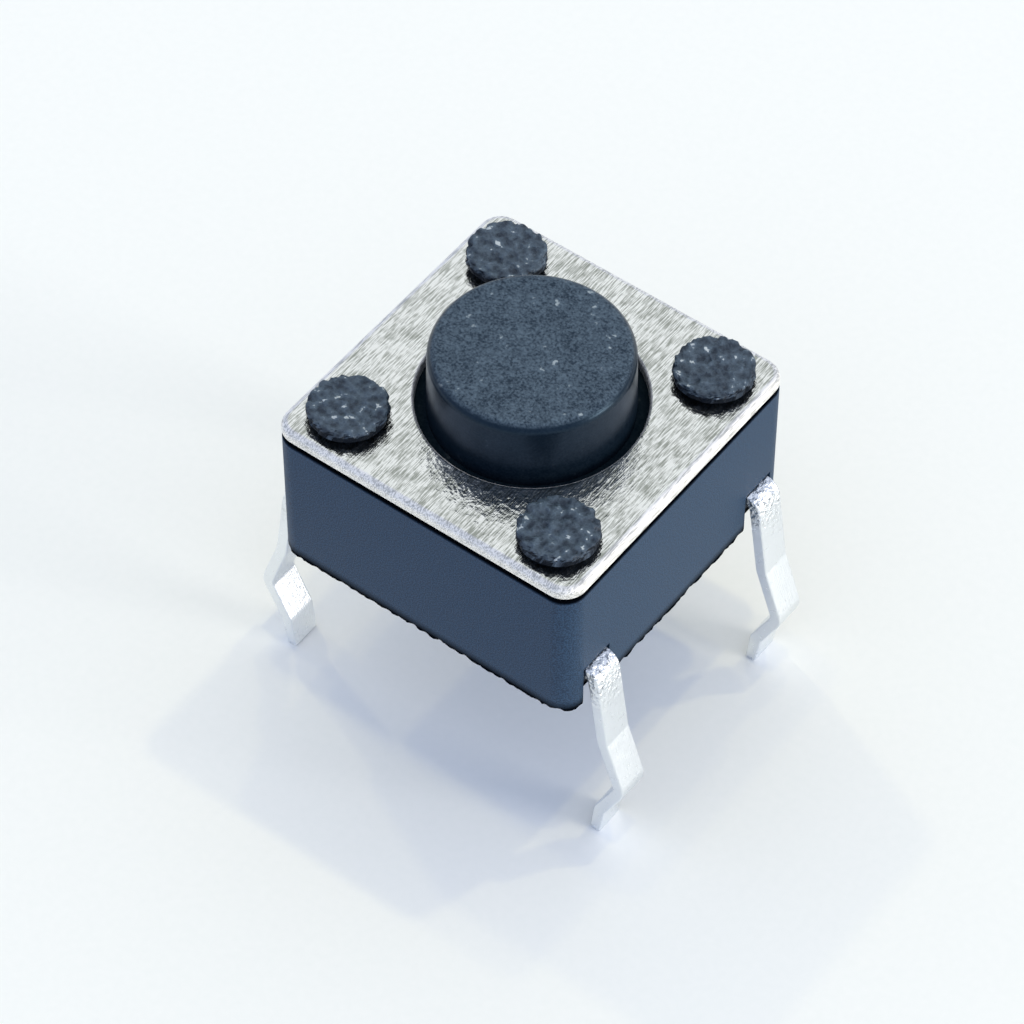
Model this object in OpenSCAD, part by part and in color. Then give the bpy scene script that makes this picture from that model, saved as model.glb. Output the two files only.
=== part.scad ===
// Square tactile push switch, 6 mm across, with four snap-in legs for a circuit board.
// Millimetres, +Z up. The origin is the middle of the base's underside, where it meets the board.

/* [Body] */
// Width and depth of the square base and cover
body_w = 6; // [5.8:0.1:7.5]
// Radius of the upright corners
corner_r = 0.4; // [0.25:0.05:0.6]
// Height of the base, from the board to the cover
base_h = 2.95; // [2.6:0.05:4]
// Height of the groove round the top of the base, under the cover's edge
groove_h = 0.13; // [0.05:0.01:0.2]
// Depth of that groove
groove_d = 0.12; // [0.05:0.01:0.15]

/* [Cover] */
// Thickness of the steel cover
cover_t = 0.2; // [0.15:0.01:0.3]
// Rounding that blanking leaves on the cover's upper outer edge
cover_roll = 0.13; // [0.05:0.01:0.16]
// Rounding of the upper edge of the button's hole
hole_roll = 0.06; // [0.02:0.01:0.12]

/* [Button] */
// Diameter of the button at the cover
button_d = 3.44; // [3:0.02:3.8]
// Draft of the button's side, in degrees
button_draft = 1; // [0.2:0.1:3]
// Rounding of the button's top edge
button_round = 0.18; // [0.05:0.01:0.4]
// How far the button stands above the cover
button_out = 1.15; // [0.6:0.05:6]
// Gap round the button in the cover's hole
button_gap = 0.19; // [0.05:0.01:0.25]
// How far the plunger's flange reaches under the cover
flange_lip = 0.32; // [0.15:0.01:0.4]
// Thickness of the flange
flange_t = 0.8; // [0.4:0.05:1]
// Diameter of the nub that presses the dome
nub_d = 1.5; // [0.8:0.1:2.2]

/* [Contact] */
// How far the button travels until the contact closes
travel = 0.25; // [0.15:0.01:0.35]
// Room left under the flange when the contact has closed
flange_room = 0.15; // [0.05:0.01:0.3]
// Diameter of the snap dome
dome_d = 3.7; // [3.2:0.1:4.1]
// Thickness of the snap dome
dome_t = 0.08; // [0.05:0.01:0.12]
// Diameter of the pad under the middle of the dome
centre_pad_d = 1.2; // [0.9:0.1:1.6]
// Diameter of the coined button on that pad
contact_d = 0.8; // [0.5:0.05:0.85]
// Height of the coined button
contact_h = 0.06; // [0.03:0.01:0.1]
// Diameter of the two pads under the dome's rim
rim_pad_d = 0.7; // [0.5:0.05:0.9]
// How far the rim pads' centres lie inside the dome's rim
rim_pad_inset = 0.1; // [0.05:0.01:0.2]
// Width of the arms that carry the pads
arm_w = 0.45; // [0.3:0.05:0.48]

/* [Posts] */
// Distance from the body's sides to the middle of a post
post_inset = 0.89; // [0.75:0.01:1]
// Diameter of a post where it passes the cover
post_d = 1.1; // [0.8:0.05:1.2]
// How far a post's staked head overhangs the post
head_lip = 0.14; // [0.06:0.01:0.16]
// Height of the head above the cover
head_h = 0.28; // [0.2:0.01:0.5]
// Rounding of the head's upper edge
head_round = 0.07; // [0.02:0.01:0.1]
// Bare neck of the post between the cover and the head
neck_h = 0.05; // [0.02:0.01:0.1]

/* [Legs] */
// Distance between the two legs on one side
leg_pitch = 4.5; // [4:0.1:4.7]
// Width of a leg
leg_w = 0.6; // [0.4:0.05:0.7]
// Thickness of the strip metal
leg_t = 0.22; // [0.15:0.01:0.3]
// Height of the contact strips above the board
strip_z = 0.65; // [0.4:0.05:0.9]
// Inside radius of the bend at the body
bend_r = 0.1; // [0.05:0.01:0.2]
// Outward lean of the upper leg, in degrees
leg_lean = 8; // [0:1:12]
// Outward angle of the snap kink, in degrees
kink_out = 19; // [12:1:30]
// Inward angle below the kink, in degrees
kink_in = 26; // [15:1:40]
// Inward angle of the tip, in degrees
tip_in = 8; // [0:1:20]
// Radius of the kink's bends, at the middle of the metal
kink_r = 0.3; // [0.15:0.05:0.5]
// Drop from the board's face to where the kink starts
upper_drop = 0.85; // [0.5:0.05:1.5]
// Drop from there to the kink's widest point
kink_drop = 1.05; // [0.6:0.05:1.5]
// Drop from the widest point to the tip's bend
return_drop = 0.8; // [0.5:0.05:1.2]
// Drop of the tip
tip_drop = 0.6; // [0.3:0.05:1]
// Depth of the notch in the base behind a leg
notch_d = 0.22; // [0.1:0.01:0.3]
// Diameter of the holes that the mould's support pins leave under the strips
pin_hole_d = 0.7; // [0.4:0.05:0.9]
// Distance of those holes from the middle, along the strips
pin_hole_x = 1.2; // [0.6:0.1:1.8]

/* [Clearances] */
// Gap between a leg and the body
leg_gap = 0.02; // [0.01:0.01:0.1]
// Gap between a notch and the leg in it
notch_gap = 0.05; // [0.01:0.01:0.08]
// Gap between a post and its hole in the cover
post_gap = 0.02; // [0.01:0.01:0.05]
// Running gap round the flange
flange_gap = 0.06; // [0.02:0.01:0.1]
// Gap between the flange and the cover, and between the nub and the dome
rest_gap = 0.01; // [0.005:0.005:0.03]
// Gap round the dome in its well
dome_gap = 0.06; // [0.03:0.01:0.1]

/* [Hidden] */
$fn = 96;
hull_fn = 32;
arc_steps = 6;
cut = 0.1;

// Heights above the board
floor_z = strip_z + leg_t;
cover_top_z = base_h + cover_t;
dome_rise = contact_h + travel;
nub_z = floor_z + dome_rise + dome_t + rest_gap;
flange_top_z = base_h - rest_gap;
flange_z = flange_top_z - flange_t;
ledge_z = flange_z - travel - flange_room;
button_top_z = cover_top_z + button_out;
kink_z = -upper_drop;
apex_z = kink_z - kink_drop;
tip_bend_z = apex_z - return_drop;
tip_z = tip_bend_z - tip_drop;

// Radii and places
button_r = button_d / 2;
button_top_r = button_r - (button_top_z - flange_top_z) * tan(button_draft);
hole_r = button_r + button_gap;
flange_r = hole_r + flange_lip;
dome_r = dome_d / 2;
dome_ball_r = (dome_r * dome_r + dome_rise * dome_rise) / (2 * dome_rise);
post_xy = body_w / 2 - post_inset;
post_r = post_d / 2;
head_r = post_r + head_lip;
strip_y = leg_pitch / 2;
rim_pad_x = dome_r - rim_pad_inset;
outer_roll = min(cover_roll, 0.9 * cover_t, 0.9 * corner_r);
inner_roll = min(hole_roll, 0.9 * cover_t);
head_side_z = cover_top_z + neck_h + head_lip / 2;
head_top_z = cover_top_z + head_h;

// The right half of a strip's bent line, from the bar inside the base to the leg's tip
leg_x = body_w / 2 + leg_gap + leg_t / 2;
strip_mid_z = strip_z + leg_t / 2;
kink_x = leg_x + (strip_mid_z - kink_z) * tan(leg_lean);
apex_x = kink_x + kink_drop * tan(kink_out);
tip_bend_x = apex_x - return_drop * tan(kink_in);
tip_x = tip_bend_x - tip_drop * tan(tip_in);
half_line = [
  [leg_x, strip_mid_z],
  [kink_x, kink_z],
  [apex_x, apex_z],
  [tip_bend_x, tip_bend_z],
  [tip_x, tip_z]
];
half_radii = [bend_r + leg_t / 2, kink_r, kink_r, kink_r, 0];
last = len(half_line) - 1;
strip_line = concat([for (i = [last:-1:0]) [-half_line[i].x, half_line[i].y]], half_line);
strip_radii = concat([for (i = [last:-1:0]) half_radii[i]], half_radii);

// Unit vector at an angle, and the one to its left
function along(a) = [cos(a), sin(a)];
function left_of(a) = [-sin(a), cos(a)];
function heading(p, q) = atan2(q.y - p.y, q.x - p.x);

// Points of an arc
function arc(c, r, from, to) =
  [for (i = [0:arc_steps]) c + r * along(from + (to - from) * i / arc_steps)];

// Stations [point, heading] round one rounded corner q of a bent line p, q, s
function corner(p, q, s, r) =
  let (
    a = heading(p, q),
    turn = heading(q, s) - a,
    side = sign(turn),
    start = q - r * tan(abs(turn) / 2) * along(a),
    centre = start + side * r * left_of(a)
  )
  [
    for (i = [0:arc_steps])
      let (h = a + turn * i / arc_steps)
      [centre - side * r * left_of(h), h]
  ];

// Stations along a whole bent line with rounded corners
function stations(line, radii) =
  let (n = len(line) - 1)
  concat(
    [[line[0], heading(line[0], line[1])]],
    [for (i = [1:n - 1]) each corner(line[i - 1], line[i], line[i + 1], radii[i])],
    [[line[n], heading(line[n - 1], line[n])]]
  );

// Outline of sheet metal of thickness t that follows a bent line
function sheet_outline(line, radii, t) =
  let (s = stations(line, radii), n = len(s) - 1)
  concat(
    [for (i = [0:n]) s[i][0] + t / 2 * left_of(s[i][1])],
    [for (i = [n:-1:0]) s[i][0] - t / 2 * left_of(s[i][1])]
  );

module at_posts() {
  for (x = [-post_xy, post_xy], y = [-post_xy, post_xy])
    translate([x, y, 0]) children();
}

module rounded_square(w, r) {
  square([w, w - 2 * r], center = true);
  square([w - 2 * r, w], center = true);
  for (x = [-1, 1], y = [-1, 1])
    translate([x, y] * (w / 2 - r)) circle(r);
}

// Post that grows out of the base, with its staked head above the cover
module post() {
  rotate_extrude()
    polygon(concat(
      [[0, base_h - cut], [post_r, base_h - cut], [post_r, cover_top_z + neck_h]],
      [[head_r, head_side_z]],
      arc([head_r - head_round, head_top_z - head_round], head_round, 0, 90),
      [[0, head_top_z]]
    ));
}

// Round well for the dome, a wider bore above it for the flange
module cavity() {
  translate([0, 0, floor_z]) cylinder(r = dome_r + dome_gap, h = base_h);
  translate([0, 0, ledge_z]) cylinder(r = flange_r + flange_gap, h = base_h - ledge_z + cut / 2);
}

// Notches in the two sides where the legs come out
module leg_notches() {
  notch_w = leg_w + 2 * notch_gap;
  for (side = [-1, 1], y = [-strip_y, strip_y])
    translate([side * body_w / 2, y, (floor_z + notch_gap) / 2 - cut / 2])
      cube([2 * notch_d, notch_w, floor_z + notch_gap + cut], center = true);
}

// Holes under the strips where the mould held them
module pin_holes() {
  for (x = [-pin_hole_x, pin_hole_x], y = [-strip_y, strip_y])
    translate([x, y, -cut]) cylinder(d = pin_hole_d, h = strip_z + leg_t / 2 + cut);
}

// One moulding: walls, posts and heads, shaped round the two metal strips
module base() {
  color("#2c3543")
    difference() {
      union() {
        linear_extrude(base_h - groove_h) rounded_square(body_w, corner_r);
        linear_extrude(base_h) rounded_square(body_w - 2 * groove_d, corner_r - groove_d);
        at_posts() post();
      }
      cavity();
      leg_notches();
      pin_holes();
      rim_contact_strip();
      centre_contact_strip();
    }
}

// Corner of the cover, with the rounded edge that blanking leaves
module cover_corner() {
  rotate_extrude($fn = hull_fn)
    polygon(concat(
      [[0, 0], [corner_r, 0]],
      arc([corner_r - outer_roll, cover_t - outer_roll], outer_roll, 0, 90),
      [[0, cover_t]]
    ));
}

// Flat steel plate on top of the base, held by the posts' heads
module cover() {
  corner_xy = body_w / 2 - corner_r;
  color("#c3c6c6")
    difference() {
      translate([0, 0, base_h])
        hull()
          for (x = [-corner_xy, corner_xy], y = [-corner_xy, corner_xy])
            translate([x, y, 0]) cover_corner();
      button_hole();
      at_posts()
        translate([0, 0, base_h - cut]) cylinder(r = post_r + post_gap, h = cover_t + 2 * cut);
    }
}

// What the button's hole takes out of the cover, with its rounded upper edge
module button_hole() {
  rotate_extrude()
    polygon(concat(
      [[0, base_h - cut], [hole_r, base_h - cut]],
      arc([hole_r + inner_roll, cover_top_z - inner_roll], inner_roll, 180, 90),
      [[hole_r + inner_roll, cover_top_z + cut], [0, cover_top_z + cut]]
    ));
}

// Button, flange and nub in one moulding
module plunger() {
  color("#333b47")
    rotate_extrude()
      polygon(concat(
        [[0, nub_z], [nub_d / 2, nub_z], [nub_d / 2, flange_z]],
        [[flange_r, flange_z], [flange_r, flange_top_z], [button_r, flange_top_z]],
        arc([button_top_r - button_round, button_top_z - button_round], button_round, 0, 90),
        [[0, button_top_z]]
      ));
}

// Thin shallow dome of spring steel, resting on the rim pads
module snap_dome() {
  ball_z = floor_z + dome_rise - dome_ball_r;
  color("#c9c4b4")
    intersection() {
      cylinder(r = dome_r, h = base_h);
      difference() {
        translate([0, 0, ball_z]) sphere(dome_ball_r + dome_t);
        translate([0, 0, ball_z]) sphere(dome_ball_r);
      }
    }
}

// Bar across the base with a bent leg at each end
module leg_bar(y) {
  translate([0, y, 0])
    rotate([90, 0, 0])
      linear_extrude(leg_w, center = true)
        polygon(sheet_outline(strip_line, strip_radii, leg_t));
}

// Arm from a bar to a round pad near the middle, in the plane of the strip
module pad_arm(x, bar_y, pad_d) {
  translate([0, 0, strip_z])
    linear_extrude(leg_t) {
      translate([x - arm_w / 2, min(bar_y, 0)]) square([arm_w, abs(bar_y)]);
      translate([x, 0]) circle(d = pad_d);
    }
}

// Strip with two legs and two pads that carry the dome's rim
module rim_contact_strip() {
  color("#d9dcdd") {
    leg_bar(-strip_y);
    for (x = [-rim_pad_x, rim_pad_x])
      pad_arm(x, -strip_y, rim_pad_d);
  }
}

// Strip with two legs and the coined contact under the middle of the dome
module centre_contact_strip() {
  color("#d9dcdd") {
    leg_bar(strip_y);
    pad_arm(0, strip_y, centre_pad_d);
    translate([0, 0, floor_z - leg_t / 2])
      cylinder(d = contact_d, h = contact_h + leg_t / 2);
  }
}

base();
cover();
plunger();
snap_dome();
rim_contact_strip();
centre_contact_strip();
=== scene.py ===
import cmath
import math

import bmesh
import bpy
from mathutils import Matrix, Vector, noise


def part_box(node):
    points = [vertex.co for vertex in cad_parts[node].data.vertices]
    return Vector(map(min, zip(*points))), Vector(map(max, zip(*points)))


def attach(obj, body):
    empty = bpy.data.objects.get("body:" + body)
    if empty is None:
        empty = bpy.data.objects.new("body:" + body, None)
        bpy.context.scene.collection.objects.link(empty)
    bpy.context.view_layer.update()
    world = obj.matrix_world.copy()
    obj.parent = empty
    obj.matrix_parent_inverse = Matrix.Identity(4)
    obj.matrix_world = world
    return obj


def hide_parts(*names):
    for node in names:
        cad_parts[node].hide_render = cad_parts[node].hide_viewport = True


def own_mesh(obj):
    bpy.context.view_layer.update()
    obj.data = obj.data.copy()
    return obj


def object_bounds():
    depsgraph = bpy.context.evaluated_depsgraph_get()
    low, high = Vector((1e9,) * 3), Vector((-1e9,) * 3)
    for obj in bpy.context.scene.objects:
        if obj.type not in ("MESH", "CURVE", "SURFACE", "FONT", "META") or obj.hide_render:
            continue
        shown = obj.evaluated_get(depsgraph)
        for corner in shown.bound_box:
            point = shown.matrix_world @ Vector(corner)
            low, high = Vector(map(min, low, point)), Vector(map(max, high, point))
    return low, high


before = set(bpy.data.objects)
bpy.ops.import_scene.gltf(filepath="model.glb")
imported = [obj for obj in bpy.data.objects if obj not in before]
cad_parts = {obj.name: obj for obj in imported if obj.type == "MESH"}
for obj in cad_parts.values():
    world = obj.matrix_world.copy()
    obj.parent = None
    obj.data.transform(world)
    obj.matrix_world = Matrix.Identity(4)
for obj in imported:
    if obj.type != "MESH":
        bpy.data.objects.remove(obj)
cad_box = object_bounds()

# Contact strips: two flat bars blanked from thin brass and plated, with both ends bent down into
# legs that kink outwards to snap into the board. Arms on the bars carry the pads under the dome,
# and the base is moulded round both.
MM = 0.001
_, base_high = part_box("base")
_, dome_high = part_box("snap_dome")
rim_low, rim_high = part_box("rim_contact_strip")
centre_low, centre_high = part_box("centre_contact_strip")
body_half = base_high.x
dome_r = dome_high.x
strip_t = 0.22 * MM
strip_top = rim_high.z
strip_mid = strip_top - strip_t / 2
leg_w = 0.6 * MM
leg_y = -rim_low.y - leg_w / 2
leg_gap = 0.02 * MM
inner_bend_r = 0.1 * MM
kink_r = 0.31 * MM
die_roll = 0.03 * MM
arm_w = 0.45 * MM
pad_inset = 0.1 * MM
rim_pad_r = rim_high.y
rim_pad_x = dome_r - pad_inset
centre_pad_r = -centre_low.y
contact_r = 0.4 * MM
sliver_w = 0.0005 * MM

# Each straight stretch of a leg: how far it drops, and how far it leans outwards in degrees
leg_stretches = (
    (strip_mid + 0.85 * MM, 8),
    (1.05 * MM, 19),
    (0.8 * MM, -26),
    (0.6 * MM, -8),
)


def bent_line(corners, radii, steps=10):
    """Points along a line with rounded corners, each with the line's direction there."""
    line = [(corners[0], (corners[1] - corners[0]) / abs(corners[1] - corners[0]))]
    for before, corner, after, r in zip(corners, corners[1:], corners[2:], radii):
        into = (corner - before) / abs(corner - before)
        turn = cmath.phase((after - corner) / (corner - before))
        start = corner - into * r * math.tan(abs(turn) / 2)
        centre = start + into * 1j * math.copysign(r, turn)
        for i in range(steps + 1):
            swing = cmath.rect(1, turn * i / steps)
            line.append((centre + (start - centre) * swing, into * swing))
    line.append((corners[-1], (corners[-1] - corners[-2]) / abs(corners[-1] - corners[-2])))
    return line


def rounded_loop(half_u, half_v, r, arc_steps=6, side_steps=1):
    """Points round a rectangle with rounded corners, as complex numbers."""
    loop = []
    corners = ((1, 1), (-1, 1), (-1, -1), (1, -1))
    for k, (u, v) in enumerate(corners):
        centre = complex(u * (half_u - r), v * (half_v - r))
        turns = [math.tau / 4 * (k + i / arc_steps) for i in range(arc_steps)]
        loop += [centre + cmath.rect(r, turn) for turn in turns]
        end = centre + cmath.rect(r, math.tau / 4 * (k + 1))
        next_u, next_v = corners[(k + 1) % 4]
        start = complex(next_u * (half_u - r), next_v * (half_v - r))
        start += cmath.rect(r, math.tau / 4 * (k + 1))
        loop += [end + (start - end) * i / side_steps for i in range(side_steps)]
    return loop


def circle(centre, r, steps=64):
    """Points round a circle, as complex numbers."""
    return [centre + cmath.rect(r, math.tau * i / steps) for i in range(steps)]


def level(loop, z):
    """A loop of complex numbers as points at one height."""
    return [Vector((p.real, p.imag, z)) for p in loop]


def shape_object(name, shape):
    """Object with the faces of a bmesh, all facing outwards."""
    bmesh.ops.recalc_face_normals(shape, faces=shape.faces)
    mesh = bpy.data.meshes.new(name)
    shape.to_mesh(mesh)
    shape.free()
    made = bpy.data.objects.new(name, mesh)
    bpy.context.scene.collection.objects.link(made)
    return made


def join_rings(shape, rings):
    """Faces between each ring of points and the next, and the rings' corners."""
    loops = [[shape.verts.new(p) for p in ring] for ring in rings]
    for low, high in zip(loops, loops[1:]):
        for i in range(len(low)):
            shape.faces.new((low[i - 1], low[i], high[i], high[i - 1]))
    return loops


def skin(name, rings):
    """Closed object through a row of rings, with a flat face on the first and the last."""
    shape = bmesh.new()
    loops = join_rings(shape, rings)
    shape.faces.new(loops[0])
    shape.faces.new(loops[-1])
    return shape_object(name, shape)


def prism(name, outline, low, high):
    """Closed object with one outline all the way from a low end to a high one."""
    return skin(name, [level(outline, low), level(outline, high)])


def change(piece, tool, operation, keep_tool=False):
    """Joins a tool's shape to a piece, or takes it out; in mm, where no edge is too short."""
    for shape in (piece, tool):
        shape.data.transform(Matrix.Scale(1 / MM, 4))
    step = piece.modifiers.new(operation, "BOOLEAN")
    step.operation = operation
    step.object = tool
    step.solver = "MANIFOLD"
    changed = piece.evaluated_get(bpy.context.evaluated_depsgraph_get())
    old = piece.data
    piece.data = bpy.data.meshes.new_from_object(changed)
    piece.data.materials.clear()
    piece.modifiers.clear()
    bpy.data.meshes.remove(old)
    for shape in (piece, tool):
        shape.data.transform(Matrix.Scale(MM, 4))
    if not keep_tool:
        bpy.data.objects.remove(tool)


def drop_slivers(piece):
    """Takes out the faces without area that joining leaves where two shapes share a plane."""
    shape = bmesh.new()
    shape.from_mesh(piece.data)
    bmesh.ops.dissolve_degenerate(shape, dist=sliver_w, edges=shape.edges)
    shape.to_mesh(piece.data)
    shape.free()


def smooth(piece, angle):
    """Smooth shading, apart from edges that turn by more than an angle in degrees."""
    piece.data.shade_smooth()
    piece.data.set_sharp_from_angle(angle=math.radians(angle))


def contact_strip(name, bar_y, pads):
    """Bar with a leg at each end, and an arm from the bar to each pad under the dome."""
    corners = [complex(body_half + leg_gap + strip_t / 2, strip_mid)]
    for drop, lean in leg_stretches:
        corners.append(corners[-1] + complex(drop * math.tan(math.radians(lean)), -drop))
    radii = [inner_bend_r + strip_t / 2] + [kink_r] * (len(leg_stretches) - 1)
    right = bent_line([complex(0, strip_mid)] + corners, radii)
    left = [(complex(-p.real, p.imag), complex(d.real, -d.imag)) for p, d in reversed(right[1:])]
    line = left + right
    rings = []
    for i, (point, along) in enumerate(line):
        at_tip = i in (0, len(line) - 1)
        inset = die_roll / 2 if at_tip else 0
        section = rounded_loop(leg_w / 2 - inset, strip_t / 2 - inset, die_roll)
        across = [point + along * 1j * s.imag for s in section]
        rings.append([Vector((a.real, bar_y + s.real, a.imag)) for a, s in zip(across, section)])
    strip = skin(name, rings)
    for x, pad_r in pads:
        arm = rounded_loop(arm_w / 2, abs(bar_y) / 2, die_roll)
        arm = [p + complex(x, bar_y / 2) for p in arm]
        for outline in (arm, circle(x, pad_r)):
            change(strip, prism("blank", outline, strip_top - strip_t, strip_top), "UNION")
    return strip


rim_strip = contact_strip("rim_strip", -leg_y, [(x, rim_pad_r) for x in (-rim_pad_x, rim_pad_x)])
centre_strip = contact_strip("centre_strip", leg_y, [(0, centre_pad_r)])
coined = prism("coined_contact", circle(0, contact_r), strip_mid, centre_high.z)
change(centre_strip, coined, "UNION")


def linear(colour):
    """Linear colour of an sRGB hex value."""
    shares = [int(colour[i:i + 2], 16) / 255 for i in (0, 2, 4)]
    return [s / 12.92 if s <= 0.04045 else ((s + 0.055) / 1.055) ** 2.4 for s in shares] + [1.0]


def node(tree, kind, inputs={}, **settings):
    """Adds a node with its settings; an input takes a value or another node's output."""
    made = tree.nodes.new("ShaderNode" + kind)
    for name, value in settings.items():
        setattr(made, name, value)
    for name, value in inputs.items():
        if isinstance(value, bpy.types.NodeSocket):
            tree.links.new(value, made.inputs[name])
        else:
            made.inputs[name].default_value = value
    return made.outputs


def empty_material(name):
    """Material with no nodes yet, and its tree."""
    made = bpy.data.materials.new(name)
    made.use_nodes = True
    made.node_tree.nodes.clear()
    return made, made.node_tree


# Bright tin plating over bent brass: pale and shiny, with faint lines from the rolling of the
# strip, and a crumpled skin where the bend at the body stretched it, with painted shade darkening
# the deepest folds.
rolling_line = 0.02 * MM
strip_line_length = 0.2 * MM
crumple = 0.08 * MM
crumple_depth = 0.06 * MM
calm_below = -0.2 * MM
crumpled_above = 0.5 * MM
plating, tree = empty_material("Bright tin plating on bent brass")
place = node(tree, "TexCoord")["Object"]
stretch = rolling_line / strip_line_length
lengthwise = node(tree, "Mapping", {"Vector": place, "Scale": (stretch, 1.0, stretch)})["Vector"]
lines = node(tree, "TexNoise", {
    "Vector": lengthwise, "Scale": 1 / rolling_line, "Detail": 2.0,
})["Fac"]
folds = node(tree, "TexNoise", {"Vector": place, "Scale": 1 / crumple, "Detail": 3.0})["Fac"]
spot = node(tree, "SeparateXYZ", {"Vector": place})
off_middle = node(tree, "Math", {0: spot["X"]}, operation="ABSOLUTE")["Value"]
outside = node(tree, "MapRange", {
    "Value": off_middle, "From Min": body_half - strip_t, "From Max": body_half,
})["Result"]
at_bend = node(tree, "MapRange", {
    "Value": spot["Z"], "From Min": calm_below, "From Max": crumpled_above,
    "To Min": 0.08, "To Max": outside,
})["Result"]
fold_depth = node(tree, "Math", {0: folds, 1: at_bend}, operation="MULTIPLY")["Value"]
relief = node(tree, "MixRGB", {"Fac": 0.15, "Color1": fold_depth, "Color2": lines})["Color"]
bumps = node(tree, "Bump", {"Height": relief, "Strength": 1.0, "Distance": crumple_depth})["Normal"]
gloss = node(tree, "MapRange", {"Value": folds, "To Min": 0.2, "To Max": 0.42})["Result"]
# Painted shade: the deepest folds go dark grey
painted_fold_shade = node(tree, "MapRange", {
    "Value": fold_depth, "From Min": 0.6, "From Max": 0.66, "To Min": 0.0, "To Max": 0.8,
})["Result"]
# Pale plating, with dark grey painted shade in the deepest folds
colour = node(tree, "MixRGB", {
    "Fac": painted_fold_shade, "Color1": linear("edf0f2"), "Color2": linear("59616b"),
})["Color"]
shader = node(tree, "BsdfPrincipled", {
    "Base Color": colour, "Metallic": 1.0, "Roughness": gloss, "Normal": bumps,
})["BSDF"]
node(tree, "OutputMaterial", {"Surface": shader})

for strip, cad_node in ((rim_strip, "rim_contact_strip"), (centre_strip, "centre_contact_strip")):
    strip.data.materials.append(plating)
    drop_slivers(strip)
    smooth(strip, 40)
    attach(strip, "housing")
    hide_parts(cad_node)

# Base: one moulding of black nylon round the two strips, with a stepped round well for the dome
# and the plunger, a groove under the cover's edge, a notch behind each leg, and holes where pins
# held the strips in the mould.
cover_low, cover_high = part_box("cover")
plunger_low, plunger_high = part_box("plunger")
base_h = cover_low.z
corner_r = 0.4 * MM
groove_h = 0.13 * MM
groove_d = 0.12 * MM
shoulder_z = base_h - groove_h
edge_r = 0.03 * MM
flash = 0.035 * MM
flash_h = 0.02 * MM
flash_length = 0.22 * MM
whole_wall_z = (0.1 * MM, 0.12 * MM, 0.2 * MM)
well_gap = 0.06 * MM
well_r = dome_r + well_gap
bore_r = plunger_high.x + well_gap
ledge_z = 1.74 * MM
notch_d = 0.22 * MM
notch_gap = 0.05 * MM
pin_hole_r = 0.35 * MM
pin_hole_x = 1.2 * MM
past = 0.1 * MM


def wall_ring(inset, z, trim=0.0):
    """Ring of the base's wall; trim is how deep the trimmed flash has nicked it."""
    ring = []
    half = body_half - inset
    loop = rounded_loop(half, half, corner_r - inset, arc_steps=16, side_steps=120)
    for point in level(loop, z):
        nick = abs(noise.fractal(point / flash_length, 1.0, 2.0, 2))
        centre_pull = 1 - nick * trim / body_half
        ring.append(Vector((point.x * centre_pull, point.y * centre_pull, z + nick * trim)))
    return ring


def rounding(r, steps):
    """Inset and drop at each step over a rounded edge, from the side up to the top."""
    turns = [math.tau / 4 * i / steps for i in range(steps + 1)]
    return [(r * (1 - math.cos(t)), r * (1 - math.sin(t))) for t in turns]


rings = [wall_ring(flash_length, 0.0), wall_ring(edge_r, 0.0, flash)]
rings += [wall_ring(0.0, flash_h, flash)] + [wall_ring(0.0, z) for z in whole_wall_z]
rings += [wall_ring(inset, shoulder_z - drop) for inset, drop in rounding(edge_r, 4)]
rings += [wall_ring(groove_d, shoulder_z), wall_ring(groove_d, base_h)]
base = skin("base_moulding", rings)
for r, z in ((well_r, strip_top), (bore_r, ledge_z)):
    change(base, prism("well", circle(0, r, 128), z, base_h + past), "DIFFERENCE")
for side in (-1, 1):
    for y in (-leg_y, leg_y):
        notch = rounded_loop(notch_d, leg_w / 2 + notch_gap, die_roll)
        notch = [p + complex(side * body_half, y) for p in notch]
        change(base, prism("notch", notch, -past, strip_top + notch_gap), "DIFFERENCE")
        hole = circle(complex(side * pin_hole_x, y), pin_hole_r)
        change(base, prism("pin_hole", hole, -past, strip_mid), "DIFFERENCE")
for strip in (rim_strip, centre_strip):
    change(base, strip, "DIFFERENCE", keep_tool=True)

# Black nylon off a spark-eroded mould: a dark slate, matt wall and underside with a grain almost
# too fine to see (drawn at 0.025 mm so that it shows), and painted shade: dull, nearly black
# strips along the bottom edge and in the groove.
grain = 0.025 * MM
grain_depth = 0.012 * MM
painted_bottom_shade_h = 0.28 * MM
nylon, tree = empty_material("Black nylon moulded with a matt grain")
place = node(tree, "TexCoord")["Object"]
pits = node(tree, "TexNoise", {"Vector": place, "Scale": 1 / grain, "Detail": 2.0})["Fac"]
height = node(tree, "SeparateXYZ", {"Vector": place})["Z"]
# Painted shade: a nearly black strip along the bottom edge of the wall, fading out upwards
above_painted_bottom_shade = node(tree, "MapRange", {
    "Value": height, "From Min": 0.3 * painted_bottom_shade_h, "From Max": painted_bottom_shade_h,
})["Result"]
# Painted shade: nearly black from the groove under the cover's edge upwards
below_painted_groove_shade = node(tree, "MapRange", {
    "Value": height, "From Min": shoulder_z - edge_r, "From Max": shoulder_z,
    "To Min": 1.0, "To Max": 0.0,
})["Result"]
wall_clear_of_painted_shade = node(tree, "Math", {0: above_painted_bottom_shade, 1: below_painted_groove_shade}, operation="MULTIPLY")["Value"]
facing = node(tree, "NewGeometry")["True Normal"]
facing_up = node(tree, "SeparateXYZ", {"Vector": facing})["Z"]
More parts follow.
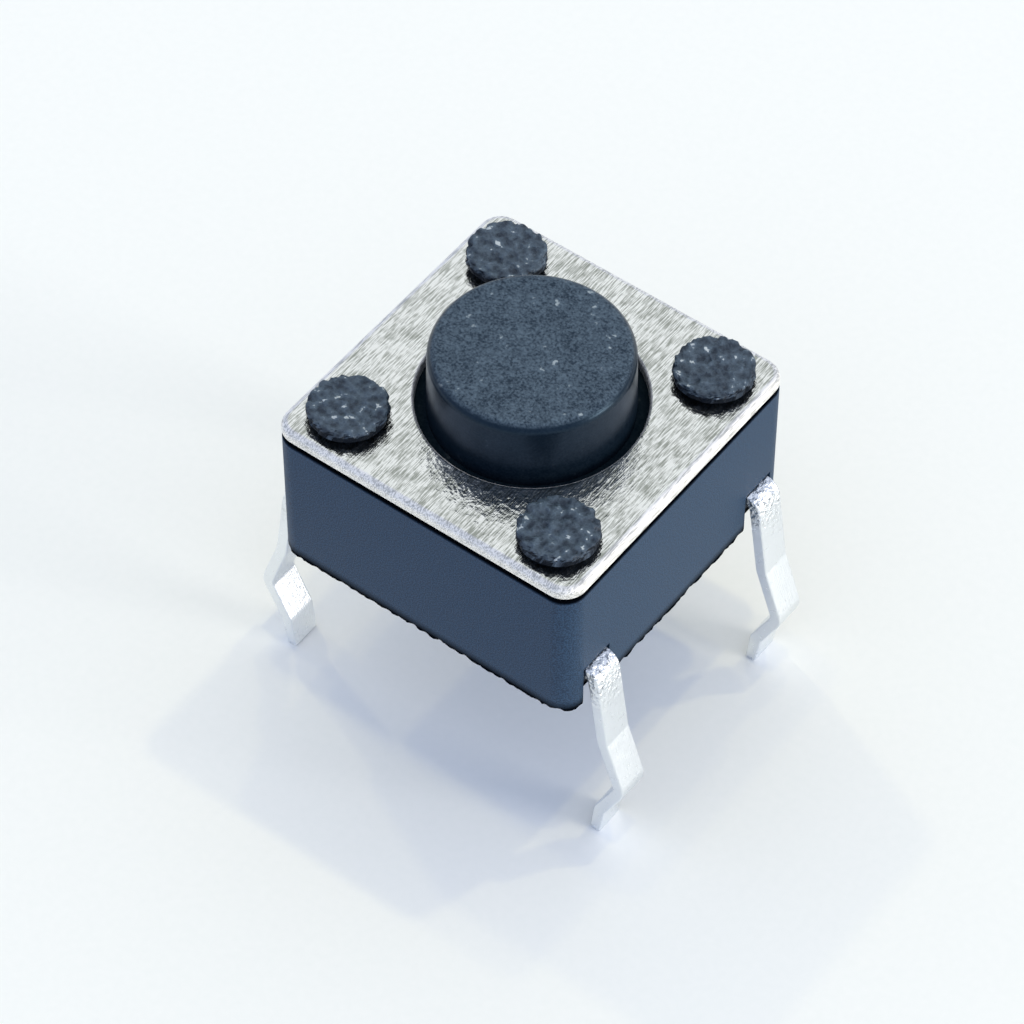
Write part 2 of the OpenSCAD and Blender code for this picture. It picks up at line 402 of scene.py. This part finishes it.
# The underside itself is kept out of the painted shade
underneath = node(tree, "Math", {0: facing_up, 1: -0.9}, operation="LESS_THAN")["Value"]
face_clear_of_painted_shade = node(tree, "Math", {0: wall_clear_of_painted_shade, 1: underneath}, operation="MAXIMUM")["Value"]
grain_tone = node(tree, "MapRange", {"Value": pits, "From Min": 0.4, "From Max": 0.6})["Result"]
face_colour = node(tree, "MixRGB", {
    "Fac": grain_tone, "Color1": linear("1b2f45"), "Color2": linear("2d4862"),
})["Color"]
# Nearly black in the painted shade, the grained slate everywhere else
colour = node(tree, "MixRGB", {
    "Fac": face_clear_of_painted_shade, "Color1": linear("070b11"), "Color2": face_colour,
})["Color"]
bumps = node(tree, "Bump", {"Height": pits, "Strength": 0.4, "Distance": grain_depth})["Normal"]
gloss = node(tree, "MapRange", {"Value": pits, "To Min": 0.42, "To Max": 0.56})["Result"]
# No shine in the painted shade
shine = node(tree, "MapRange", {"Value": face_clear_of_painted_shade, "To Min": 0.0, "To Max": 0.22})["Result"]
shader = node(tree, "BsdfPrincipled", {
    "Base Color": colour, "Roughness": gloss, "Specular IOR Level": shine, "Normal": bumps,
})["BSDF"]
node(tree, "OutputMaterial", {"Surface": shader})

# Snap dome: a shallow cap pressed from spring steel foil. It lies loose in the well with its rim
# on the two rim pads, and gives way under the plunger.
dome_t = 0.08 * MM
dome_rise = dome_high.z - strip_top - dome_t
ball_r = (dome_r ** 2 + dome_rise ** 2) / (2 * dome_rise)
ball_z = strip_top + dome_rise - ball_r
dome_steps = 24
tip_step = 0.2


def revolve(name, profile, steps):
    """Closed object turned from a profile of (radius, height) points."""
    return skin(name, [level(circle(0, r, steps), z) for r, z in profile])


under = [(dome_r * max(i, tip_step) / dome_steps, ball_r) for i in range(dome_steps + 1)]
over = [(r, ball_r + dome_t) for r, ball in reversed(under)]
profile = [(r, ball_z + math.sqrt(ball ** 2 - r ** 2)) for r, ball in under + over]
dome = revolve("dome_foil", profile, 128)

# Rolled spring steel: a warm grey shine with long fine lines from the rolls.
foil_line_length = 0.4 * MM
foil_line_depth = 0.005 * MM
foil, tree = empty_material("Rolled spring steel foil")
place = node(tree, "TexCoord")["Object"]
stretch = rolling_line / foil_line_length
lengthwise = node(tree, "Mapping", {"Vector": place, "Scale": (1.0, stretch, 1.0)})["Vector"]
lines = node(tree, "TexNoise", {
    "Vector": lengthwise, "Scale": 1 / rolling_line, "Detail": 2.0,
})["Fac"]
bumps = node(tree, "Bump", {
    "Height": lines, "Strength": 0.3, "Distance": foil_line_depth,
})["Normal"]
gloss = node(tree, "MapRange", {"Value": lines, "To Min": 0.2, "To Max": 0.35})["Result"]
shader = node(tree, "BsdfPrincipled", {
    "Base Color": linear("d3cfc4"), "Metallic": 1.0, "Roughness": gloss, "Normal": bumps,
})["BSDF"]
node(tree, "OutputMaterial", {"Surface": shader})
dome.data.materials.append(foil)
smooth(dome, 40)
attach(dome, "housing")
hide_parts("snap_dome")
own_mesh(dome)

# Plunger: the push button with its flange and nub, one moulding of black acetal. It drops into
# the bore from above, and the cover keeps the flange in.
nub_r = 0.75 * MM
flange_r = plunger_high.x
flange_t = 0.8 * MM
flange_play = 0.01 * MM
flange_top = base_h - flange_play
flange_low = flange_top - flange_t
button_r = 1.72 * MM
button_round = 0.18 * MM
button_draft = math.radians(1)
button_top = plunger_high.z
button_top_r = button_r - (button_top - flange_top) * math.tan(button_draft)
profile = [(nub_r - edge_r, plunger_low.z), (nub_r, plunger_low.z + edge_r)]
profile += [(nub_r, flange_low), (flange_r - edge_r, flange_low)]
profile += [(flange_r, flange_low + edge_r), (flange_r, flange_top - edge_r)]
profile += [(flange_r - edge_r, flange_top), (button_r, flange_top)]
profile += [(button_top_r - inset, button_top - drop) for inset, drop in rounding(button_round, 16)]
profile.append((button_top_r - button_round - edge_r, button_top))
plunger = revolve("push_button", profile, 192)

# Black acetal: satin sides as the polished mould left them, with painted shade that takes their
# shine away towards the hole, and a top with a sandy grain (drawn at 0.04 mm so that it shows) and
# painted glints, where a few coarse grains turn pale.
sand = 0.04 * MM
sand_depth = 0.03 * MM
coarse_grain = 0.2 * MM
sandy_above = button_top - 0.01 * MM
satin_below = button_top - 0.06 * MM
shiny_above = base_h + 0.9 * MM
acetal, tree = empty_material("Black acetal moulded with a sandy top")
place = node(tree, "TexCoord")["Object"]
pits = node(tree, "TexNoise", {"Vector": place, "Scale": 1 / sand, "Detail": 3.0})["Fac"]
lumps = node(tree, "TexNoise", {"Vector": place, "Scale": 1 / coarse_grain, "Detail": 4.0})["Fac"]
height = node(tree, "SeparateXYZ", {"Vector": place})["Z"]
on_top = node(tree, "MapRange", {
    "Value": height, "From Min": satin_below, "From Max": sandy_above, "To Min": 0.08,
})["Result"]
depth = node(tree, "Math", {0: pits, 1: on_top}, operation="MULTIPLY")["Value"]
bumps = node(tree, "Bump", {"Height": depth, "Strength": 0.8, "Distance": sand_depth})["Normal"]
gloss = node(tree, "MapRange", {"Value": on_top, "To Min": 0.26, "To Max": 0.55})["Result"]
# Painted shade: the shine fades out down the sides towards the hole
shine = node(tree, "MapRange", {
    "Value": height, "From Min": base_h, "From Max": shiny_above, "To Max": 0.35,
})["Result"]
mottle = node(tree, "MixRGB", {"Fac": 0.3, "Color1": pits, "Color2": lumps})["Color"]
sand_tone = node(tree, "MapRange", {"Value": mottle, "From Min": 0.36, "From Max": 0.64})["Result"]
top_colour = node(tree, "MixRGB", {
    "Fac": sand_tone, "Color1": linear("212b36"), "Color2": linear("566573"),
})["Color"]
# Painted glints: the palest coarse grains on the top turn nearly white
painted_glint_flecks = node(tree, "MapRange", {"Value": lumps, "From Min": 0.68, "From Max": 0.74})["Result"]
top_colour = node(tree, "MixRGB", {
    "Fac": painted_glint_flecks, "Color1": top_colour, "Color2": linear("9aa6ae"),
})["Color"]
colour = node(tree, "MixRGB", {
    "Fac": on_top, "Color1": linear("05111c"), "Color2": top_colour,
})["Color"]
shader = node(tree, "BsdfPrincipled", {
    "Base Color": colour, "Roughness": gloss, "Specular IOR Level": shine,
    "Specular Tint": linear("a0c8ec"), "Normal": bumps,
})["BSDF"]
node(tree, "OutputMaterial", {"Surface": shader})
plunger.data.materials.append(acetal)
smooth(plunger, 35)
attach(plunger, "button")
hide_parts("plunger")

# Cover: a square plate blanked from stainless sheet. The punch rolls its upper edges over, and
# it lies on the base with its four holes over the posts.
cover_top = cover_high.z
cover_roll = 0.13 * MM
hole_roll = 0.06 * MM
button_gap = 0.19 * MM
hole_r = button_r + button_gap
post_inset = 0.89 * MM
post_xy = body_half - post_inset
posts = [complex(x, y) for x in (-post_xy, post_xy) for y in (-post_xy, post_xy)]
post_r = 0.55 * MM
post_gap = 0.02 * MM
flat_margin = 0.02 * MM


def rolled_edge(r):
    """Inset and height of an edge rolled over to the cover's top, from its side to the flat."""
    edge = [(inset, cover_top - drop) for inset, drop in rounding(r, 8)]
    return [(0.0, base_h)] + edge + [(r + flat_margin, cover_top)]


def plate_loop(inset):
    """The plate's outline, drawn in by an inset."""
    half = body_half - inset
    return rounded_loop(half, half, corner_r - inset, arc_steps=16)


shape = bmesh.new()
rings = [level(plate_loop(inset), z) for inset, z in rolled_edge(cover_roll)]
edges = [join_rings(shape, rings)]
rings = [level(circle(0, hole_r + inset, 192), z) for inset, z in rolled_edge(hole_roll)]
edges.append(join_rings(shape, rings))
for post in posts:
    hole = circle(post, post_r + post_gap, 96)
    edges.append(join_rings(shape, [level(hole, base_h), level(hole, cover_top)]))
for end in (0, -1):
    loops = [loop[end] for loop in edges]
    rim = [shape.edges.get((loop[i - 1], loop[i])) for loop in loops for i in range(len(loop))]
    bmesh.ops.triangle_fill(shape, edges=rim, use_beauty=True)
cover = shape_object("cover_plate", shape)

# Rolled and brushed stainless sheet: silvery, streaked along the grain in pale and grey with soft
# cloudy patches, and mirroring what stands on it. The punched edges are paler and duller.
streak = 0.025 * MM
streak_length = 0.3 * MM
streak_depth = 0.015 * MM
facet = 0.1 * MM
patch = 0.5 * MM
edge_below = cover_top - 0.004 * MM
flat_above = cover_top - 0.001 * MM
stainless, tree = empty_material("Brushed stainless sheet")
place = node(tree, "TexCoord")["Object"]
height = node(tree, "SeparateXYZ", {"Vector": place})["Z"]
on_flat = node(tree, "MapRange", {
    "Value": height, "From Min": edge_below, "From Max": flat_above,
})["Result"]
stretch = streak / streak_length
lengthwise = node(tree, "Mapping", {"Vector": place, "Scale": (1.0, stretch, 1.0)})["Vector"]
streaks = node(tree, "TexNoise", {"Vector": lengthwise, "Scale": 1 / streak, "Detail": 2.0})["Fac"]
facets = node(tree, "TexNoise", {"Vector": place, "Scale": 1 / facet, "Detail": 2.0})["Fac"]
patches = node(tree, "TexNoise", {"Vector": place, "Scale": 1 / patch, "Detail": 2.0})["Fac"]
relief = node(tree, "MixRGB", {"Fac": 0.75, "Color1": streaks, "Color2": facets})["Color"]
bumps = node(tree, "Bump", {"Height": relief, "Strength": 1.0, "Distance": streak_depth})["Normal"]
gloss = node(tree, "MapRange", {"Value": on_flat, "To Min": 0.65, "To Max": 0.15})["Result"]
cloud = node(tree, "MixRGB", {"Fac": 0.5, "Color1": facets, "Color2": patches})["Color"]
wear = node(tree, "MixRGB", {"Fac": 0.35, "Color1": streaks, "Color2": cloud})["Color"]
wear_tone = node(tree, "MapRange", {"Value": wear, "From Min": 0.4, "From Max": 0.56})["Result"]
flat_colour = node(tree, "MixRGB", {
    "Fac": wear_tone, "Color1": linear("a6a9a0"), "Color2": linear("fffffa"),
})["Color"]
edge_colour = node(tree, "MixRGB", {
    "Fac": wear_tone, "Color1": linear("c6c5c0"), "Color2": linear("fffcf6"),
})["Color"]
colour = node(tree, "MixRGB", {
    "Fac": on_flat, "Color1": edge_colour, "Color2": flat_colour,
})["Color"]
shader = node(tree, "BsdfPrincipled", {
    "Base Color": colour, "Metallic": 1.0, "Roughness": gloss, "Normal": bumps,
})["BSDF"]
node(tree, "OutputMaterial", {"Surface": shader})
cover.data.materials.append(stainless)
smooth(cover, 35)
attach(cover, "housing")
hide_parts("cover")

# Staked heads: the base's own posts, which stand through the cover and are melted over at the
# top, so the cover stays down. The hot tool leaves the heads lumpy and their rims crumpled.
head_r = 0.69 * MM
head_round = 0.07 * MM
head_flat_r = head_r - head_round
head_rings = 22
neck_top = cover_top + 0.05 * MM
head_side = cover_top + 0.12 * MM
head_top = base_high.z
lump = 0.16 * MM
lump_depth = 0.05 * MM


def melted(point, middle, share):
    """A point of a head, pushed in and down where the melted plastic has sunk."""
    swell = max(0.0, 0.4 + noise.fractal(point / lump, 0.8, 2.3, 3))
    out = (point - middle) * (1 - share * swell * lump_depth / head_r)
    return middle + Vector((out.x, out.y, out.z - share * swell * lump_depth))


# Each ring of a post: its radius, its height, and its share of the lumps
profile = [(post_r, base_h - past, 0.0), (post_r, neck_top, 0.2), (head_r, head_side, 1.0)]
profile += [(head_r - inset, head_top - drop, 1.0) for inset, drop in rounding(head_round, 8)]
profile += [(head_flat_r * (1 - i / head_rings), head_top, 0.8) for i in range(1, head_rings)]
for post in posts:
    rings = []
    for r, z, share in profile:
        middle = Vector((post.real, post.imag, z))
        rings.append([melted(p, middle, share) for p in level(circle(post, r, 120), z)])
    change(base, skin("staked_post", rings), "UNION")

# The same nylon after it was melted: greyer and rougher than the moulded walls and mottled on top,
# with painted glints as small pale specks there, and painted shade that makes the side nearly black
# below the rim.
scab = 0.15 * MM
scab_depth = 0.1 * MM
melted_nylon, tree = empty_material("Black nylon melted by the staking tool")
place = node(tree, "TexCoord")["Object"]
scabs = node(tree, "TexNoise", {"Vector": place, "Scale": 1 / scab, "Detail": 4.0})["Fac"]
bumps = node(tree, "Bump", {"Height": scabs, "Strength": 1.0, "Distance": scab_depth})["Normal"]
scab_tone = node(tree, "MapRange", {"Value": scabs, "From Min": 0.35, "From Max": 0.65})["Result"]
scab_colour = node(tree, "MixRGB", {
    "Fac": scab_tone, "Color1": linear("222d3a"), "Color2": linear("526272"),
})["Color"]
# Painted glints: the highest scabs turn pale
painted_glint_specks = node(tree, "MapRange", {"Value": scabs, "From Min": 0.65, "From Max": 0.68})["Result"]
top_colour = node(tree, "MixRGB", {
    "Fac": painted_glint_specks, "Color1": scab_colour, "Color2": linear("b4bec6"),
})["Color"]
# Painted shade: faces turned away from upwards go nearly black, with less shine
facing = node(tree, "NewGeometry")["True Normal"]
facing_up = node(tree, "SeparateXYZ", {"Vector": facing})["Z"]
on_top = node(tree, "MapRange", {"Value": facing_up, "From Min": 0.1, "From Max": 0.6})["Result"]
colour = node(tree, "MixRGB", {
    "Fac": on_top, "Color1": linear("0a121c"), "Color2": top_colour,
})["Color"]
shine = node(tree, "MapRange", {"Value": on_top, "To Min": 0.1, "To Max": 0.4})["Result"]
shader = node(tree, "BsdfPrincipled", {
    "Base Color": colour, "Roughness": 0.5, "Specular IOR Level": shine, "Normal": bumps,
})["BSDF"]
node(tree, "OutputMaterial", {"Surface": shader})
base.data.materials.append(nylon)
base.data.materials.append(melted_nylon)
for face in base.data.polygons:
    if face.center.z > cover_top:
        face.material_index = 1
drop_slivers(base)
smooth(base, 60)
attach(base, "housing")
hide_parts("base")

# Floor: a sheet of white card under the legs' tips, cut with rounded corners well outside the
# picture.
card_half = 250 * MM
card_t = 2 * MM
card_corner_r = 10 * MM
floor_z = cad_box[0].z
card_loop = rounded_loop(card_half, card_half, card_corner_r)
floor = prism("floor", card_loop, floor_z - card_t, floor_z)

# Matt white card: all but even, with faint pale fibres, and dull, so that shadows show on it but
# no reflection does.
fibre = 0.15 * MM
card, tree = empty_material("Matt white card")
place = node(tree, "TexCoord")["Object"]
fibres = node(tree, "TexNoise", {"Vector": place, "Scale": 1 / fibre, "Detail": 4.0})["Fac"]
colour = node(tree, "MixRGB", {
    "Fac": fibres, "Color1": linear("f1f4f3"), "Color2": linear("f6f8f7"),
})["Color"]
shader = node(tree, "BsdfPrincipled", {"Base Color": colour, "Roughness": 0.6})["BSDF"]
node(tree, "OutputMaterial", {"Surface": shader})
floor.data.materials.append(card)

# Studio light: a pale room, bluer and darker low down on the left, with five small lamps, a
# neutral patch of ceiling that they light, and a soft box low on the right. The small lamps leave
# no glints, which would be finer than the picture can show.
room_level = 0.95
bright_side = (0.5, 0.25, 0.83)
lamplit_ceiling = (-0.38, 0.51, 0.77)
world = bpy.data.worlds.new("Studio room")
bpy.context.scene.world = world
world.use_nodes = True
tree = world.node_tree
tree.nodes.clear()
direction = node(tree, "TexCoord")["Generated"]
bright = node(tree, "VectorMath", {0: direction, 1: bright_side}, operation="DOT_PRODUCT")["Value"]
share_bright = node(tree, "MapRange", {"Value": bright, "From Min": -1.0})["Result"]
walls = node(tree, "MixRGB", {
    "Fac": share_bright, "Color1": linear("b6c9f2"), "Color2": linear("e1eaff"),
})["Color"]
lamplit = node(tree, "VectorMath", {
    0: direction, 1: lamplit_ceiling,
}, operation="DOT_PRODUCT")["Value"]
share_lamplit = node(tree, "MapRange", {
    "Value": lamplit, "From Min": 0.8, "From Max": 0.96,
})["Result"]
colour = node(tree, "MixRGB", {
    "Fac": share_lamplit, "Color1": walls, "Color2": linear("ebf0f5"),
})["Color"]
room = node(tree, "Background", {"Color": colour, "Strength": room_level})["Background"]
node(tree, "OutputWorld", {"Surface": room})

# Each lamp: azimuth and elevation in degrees, size, share of the light on the floor, and colour
aim_at = Vector((0, 0, 2 * MM))
lamp_distance = 600 * MM
small = 20 * MM
lamps = (
    ("lamp_left", -66, 50, small, 0.05, "ffefaa"),
    ("lamp_back", 18, 65, small, 0.08, "ffefaa"),
    ("lamp_back_left", -21, 65, small, 0.04, "ffefaa"),
    ("lamp_high_left", -80, 75, small, 0.04, "ffefaa"),
    ("lamp_above", 77, 86, small, 0.08, "ffefaa"),
    ("box_right", 75, 10, 10 * small, 0.09, "fff9ee"),
)
for name, azimuth, elevation, size, share, colour in lamps:
    rise = math.sin(math.radians(elevation))
    lamp = bpy.data.lights.new(name, "AREA")
    lamp.size = size
    lamp.energy = share * (math.pi * lamp_distance) ** 2 / rise
    lamp.color = linear(colour)[:3]
    box = bpy.data.objects.new(name, lamp)
    flat = cmath.rect(math.cos(math.radians(elevation)), math.radians(90 - azimuth))
    towards = Vector((flat.real, flat.imag, rise))
    box.location = aim_at + towards * lamp_distance
    box.rotation_mode = "QUATERNION"
    box.rotation_quaternion = (-towards).to_track_quat("-Z", "Y")
    box.visible_camera = False
    box.visible_glossy = size > small
    bpy.context.scene.collection.objects.link(box)
bpy.context.scene.view_settings.view_transform = "Standard"

# Camera: where the photograph was taken from, found from the edges of the switch in it, with the
# focal length in pixels of that picture.
camera_azimuth = math.radians(37.066)
camera_elevation = math.radians(50.625)
camera_distance = 72.55 * MM
camera_target = Vector((1.261, -2.203, 3.253)) * MM
picture_px = 1024
focal_px = 4589
back = Vector((
    math.sin(camera_azimuth) * math.cos(camera_elevation),
    -math.cos(camera_azimuth) * math.cos(camera_elevation),
    math.sin(camera_elevation),
))
camera = bpy.data.objects.new("camera", bpy.data.cameras.new("camera"))
camera.data.lens = camera.data.sensor_width * focal_px / picture_px
camera.data.clip_start = 1 * MM
camera.location = camera_target + back * camera_distance
camera.rotation_mode = "QUATERNION"
camera.rotation_quaternion = (-back).to_track_quat("-Z", "Y")
bpy.context.scene.collection.objects.link(camera)
bpy.context.scene.camera = camera
